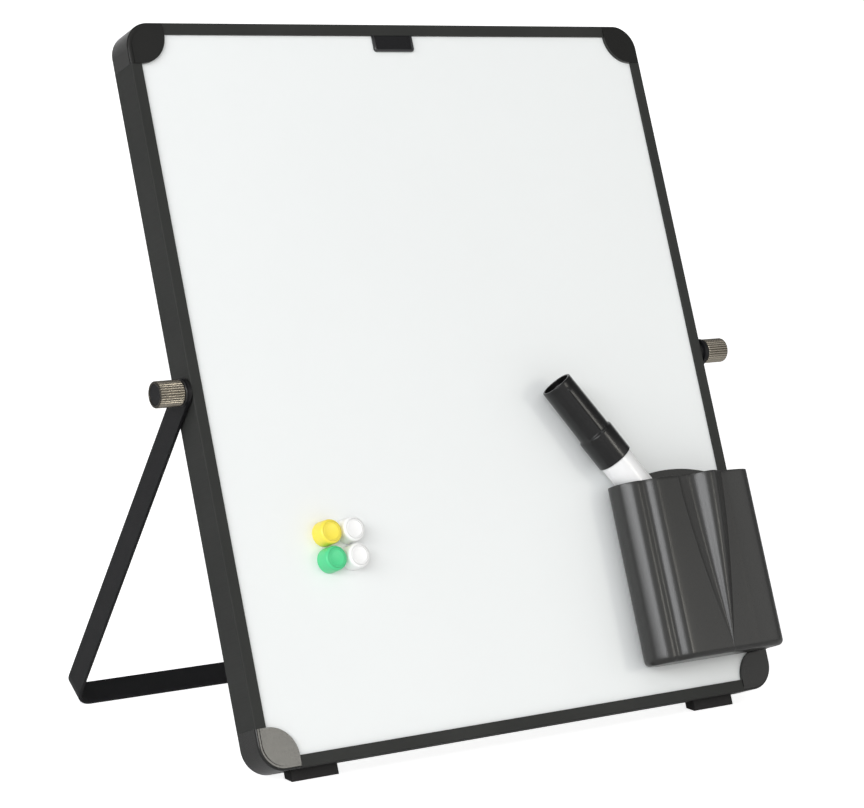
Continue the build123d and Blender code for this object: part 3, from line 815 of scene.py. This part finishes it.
class EASEL_OT_buttons(bpy.types.Operator):
    """Four magnet buttons, each a round body with a soft edge and a dished face"""

    bl_idname = "easel.buttons"
    bl_label = "Magnet buttons"

    def execute(self, context):
        own, tint = sizes(), colours()
        tints = {
            "yellow": tint.yellow, "green": tint.green,
            "white_upper": tint.white, "white_lower": tint.white,
        }
        for word, colour in tints.items():
            magnet = f"button_magnet_{word}"
            start, stop = extent(magnet, OUT)
            magnet_height = stop - start
            low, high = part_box(magnet)
            magnet_radius = (high[0] - low[0]) / 2
            low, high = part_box(f"button_{word}")
            radius = (high[0] - low[0]) / 2
            start, stop = extent(f"button_{word}", OUT)
            height = stop - start
            base = middle(magnet) - OUT * magnet_height / 2
            rim = radius - 1.4 * own.button_edge
            draft, lip = 0.25 * MM, 0.3 * MM
            pocket = magnet_radius + 0.05 * MM
            outline = [
                (0, magnet_height), (pocket, magnet_height), (pocket, 0), (radius, 0),
                (radius - draft, height - lip), (rim, height),
                (0.7 * rim, height - own.button_dish), (0, height - 1.4 * own.button_dish),
            ]
            cuts = [0.02 * MM, 0.1 * MM, 0.35 * MM, own.button_edge, 0.5 * MM, 1.1 * MM]
            grid = turned(rounded(outline, cuts, 9), base, OUT, ACROSS, 72)
            plastic = finish(f"button_{word}", colour, 0.34, shift=0.02, grain_depth=0.000002)
            surface(f"magnet_button_{word}", grid, plastic, f"button_{word}", (f"button_{word}",))
        return {"FINISHED"}


class EASEL_OT_studio(bpy.types.Operator):
    """Pale floor and backdrop, soft light, and the camera"""

    bl_idname = "easel.studio"
    bl_label = "Studio"

    # Point the lamps face, and each lamp's place, width and height, and colour
    target = (0.0, -0.03, 0.14)
    lamps = {
        "right_softbox": ((0.499, -1.127, 0.472), (0.2, 0.22), (1, 0.97, 0.88)),
        "left_softbox": ((-1.72, -1.15, 0.93), (2.05, 0.55), (0.97, 0.98, 1)),
        "right_fill": ((1.54, -1.23, 0.556), (1.6, 0.7), (1, 0.99, 0.97)),
    }
    # Where the even light comes from, and the reach that way at which it starts to rise
    light_way, light_start = (-0.45, -0.8, 0.4), 0.3
    # Colour of the floor and backdrop, and what the camera sees on top of it
    sweep_grey, sweep_glow = (0.9, 0.9, 0.9, 1), 0.72

    def execute(self, context):
        own = context.scene.easel_studio
        self.sweep()
        self.world(own.front_light, own.back_light)
        for name, (place, size, colour) in self.lamps.items():
            self.lamp(name, getattr(own, name), place, size, colour)
        self.camera(own)
        return {"FINISHED"}

    def sweep(self):
        """Floor that curves up into a backdrop: flat, then a quarter circle, then upright."""
        near, far, side, bend, top = -2.5, 2.2, 3.0, 0.8, 3.0
        turn = np.linspace(0, pi / 2, 24)
        path = np.concatenate([
            [(near, 0.0)],
            np.stack([far + bend * np.sin(turn), bend - bend * np.cos(turn)], axis=1),
            [(far + bend, top)],
        ])
        grid = np.zeros((len(path), 2, 3))
        grid[..., 0] = -side, side
        grid[..., 1] = path[:, :1]
        grid[..., 2] = path[:, 1:]
        material, nodes, links, shader = new_material("studio_white")
        shader.inputs["Base Color"].default_value = self.sweep_grey
        shader.inputs["Roughness"].default_value = 0.9
        shader.inputs["Specular IOR Level"].default_value = 0.1
        ray = nodes.new("ShaderNodeLightPath")
        seen = nodes.new("ShaderNodeMath")
        seen.operation = "MAXIMUM"
        links.new(ray.outputs["Is Camera Ray"], seen.inputs[0])
        links.new(ray.outputs["Is Transmission Ray"], seen.inputs[1])
        direct = nodes.new("ShaderNodeMath")
        direct.operation = "MULTIPLY"
        direct.inputs[1].default_value = self.sweep_glow
        links.new(seen.outputs["Value"], direct.inputs[0])
        shader.inputs["Emission Color"].default_value = (1, 1, 1, 1)
        links.new(direct.outputs["Value"], shader.inputs["Emission Strength"])
        mesh = bpy.data.meshes.new("sweep")
        index = np.arange(len(path) * 2).reshape(-1, 2)
        faces = np.stack([index[:-1, 0], index[:-1, 1], index[1:, 1], index[1:, 0]], axis=1)
        mesh.from_pydata(grid.reshape(-1, 3).tolist(), [], faces.tolist())
        mesh.polygons.foreach_set("use_smooth", np.ones(len(faces), dtype=bool))
        mesh.materials.append(material)
        floor = bpy.data.objects.new("sweep", mesh)
        bpy.context.scene.collection.objects.link(floor)

    def world(self, front, back):
        """White light, strongest from before and above the board on its left.

        Its level rises smoothly with a direction's reach that way, and the camera sees it as
        plain white.
        """
        world = bpy.data.worlds.new("studio")
        bpy.context.scene.world = world
        world.use_nodes = True
        nodes, links = world.node_tree.nodes, world.node_tree.links
        nodes.clear()
        way = nodes.new("ShaderNodeTexCoord")
        reach = nodes.new("ShaderNodeVectorMath")
        reach.operation = "DOT_PRODUCT"
        reach.inputs[1].default_value = self.light_way
        links.new(way.outputs["Generated"], reach.inputs[0])
        fall = nodes.new("ShaderNodeMapRange")
        fall.interpolation_type = "SMOOTHSTEP"
        fall.inputs["From Min"].default_value = self.light_start
        fall.inputs["From Max"].default_value = 1
        fall.inputs["To Min"].default_value = back
        fall.inputs["To Max"].default_value = front
        links.new(reach.outputs["Value"], fall.inputs["Value"])
        ray = nodes.new("ShaderNodeLightPath")
        level = nodes.new("ShaderNodeMix")
        level.inputs["B"].default_value = 1
        links.new(ray.outputs["Is Camera Ray"], level.inputs["Factor"])
        links.new(fall.outputs["Result"], level.inputs["A"])
        glow = nodes.new("ShaderNodeBackground")
        glow.inputs["Color"].default_value = (1, 1, 1, 1)
        links.new(level.outputs["Result"], glow.inputs["Strength"])
        output = nodes.new("ShaderNodeOutputWorld")
        links.new(glow.outputs["Background"], output.inputs["Surface"])

    def lamp(self, name, power, place, size, colour):
        """Rectangular area light facing the target."""
        data = bpy.data.lights.new(name, "AREA")
        data.shape = "RECTANGLE"
        data.size, data.size_y = size
        data.energy = power
        data.color = colour
        lamp = bpy.data.objects.new(name, data)
        bpy.context.scene.collection.objects.link(lamp)
        lamp.location = place
        lamp.rotation_euler = self.facing(place, self.target).to_euler()

    def facing(self, place, aim):
        """Rotation that turns a camera's or lamp's own axis from place to aim."""
        return (Vector(aim) - Vector(place)).to_track_quat("-Z", "Y")

    def camera(self, own):
        """Camera at its place, aimed and then rolled about its own axis."""
        data = bpy.data.cameras.new("camera")
        data.lens = own.camera_lens
        data.sensor_width = 36
        data.clip_start = 0.05
        camera = bpy.data.objects.new("camera", data)
        bpy.context.scene.collection.objects.link(camera)
        camera.location = own.camera_place
        turn = self.facing(own.camera_place, own.camera_aim)
        turn = turn @ Quaternion((0, 0, 1), own.camera_roll)
        camera.rotation_euler = turn.to_euler()
        bpy.context.scene.camera = camera
        bpy.context.scene.view_settings.view_transform = "Standard"


class EASEL_PT_panel(bpy.types.Panel):
    """Lists the easel's steps in the order they run"""

    bl_idname = "EASEL_PT_panel"
    bl_label = "Whiteboard easel"
    bl_space_type = "VIEW_3D"
    bl_region_type = "UI"
    bl_category = "Easel"

    def draw(self, context):
        for operator in OPERATORS:
            self.layout.operator(operator.bl_idname)
        for word in GROUPS:
            group = getattr(context.scene, word)
            box = self.layout.box()
            for name in group.bl_rna.properties.keys():
                if name not in ("rna_type", "name"):
                    box.prop(group, name)


OPERATORS = (
    EASEL_OT_frame, EASEL_OT_stand, EASEL_OT_knobs, EASEL_OT_holder, EASEL_OT_marker,
    EASEL_OT_buttons, EASEL_OT_studio,
)
GROUPS = {"easel_sizes": EaselSizes, "easel_colours": EaselColours, "easel_studio": EaselStudio}


def register():
    """Registers the groups, the operators and the panel."""
    for group in GROUPS.values():
        bpy.utils.register_class(group)
    for name, group in GROUPS.items():
        setattr(bpy.types.Scene, name, bpy.props.PointerProperty(type=group))
    for operator in OPERATORS:
        bpy.utils.register_class(operator)
    bpy.utils.register_class(EASEL_PT_panel)


def unregister():
    """Takes them out again, in the reverse order."""
    bpy.utils.unregister_class(EASEL_PT_panel)
    for operator in reversed(OPERATORS):
        bpy.utils.unregister_class(operator)
    for name, group in GROUPS.items():
        delattr(bpy.types.Scene, name)
        bpy.utils.unregister_class(group)


def main():
    """Registers the add-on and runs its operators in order."""
    register()
    for operator in OPERATORS:
        group, name = operator.bl_idname.split(".")
        getattr(getattr(bpy.ops, group), name)()


if __name__ == "__main__":
    main()
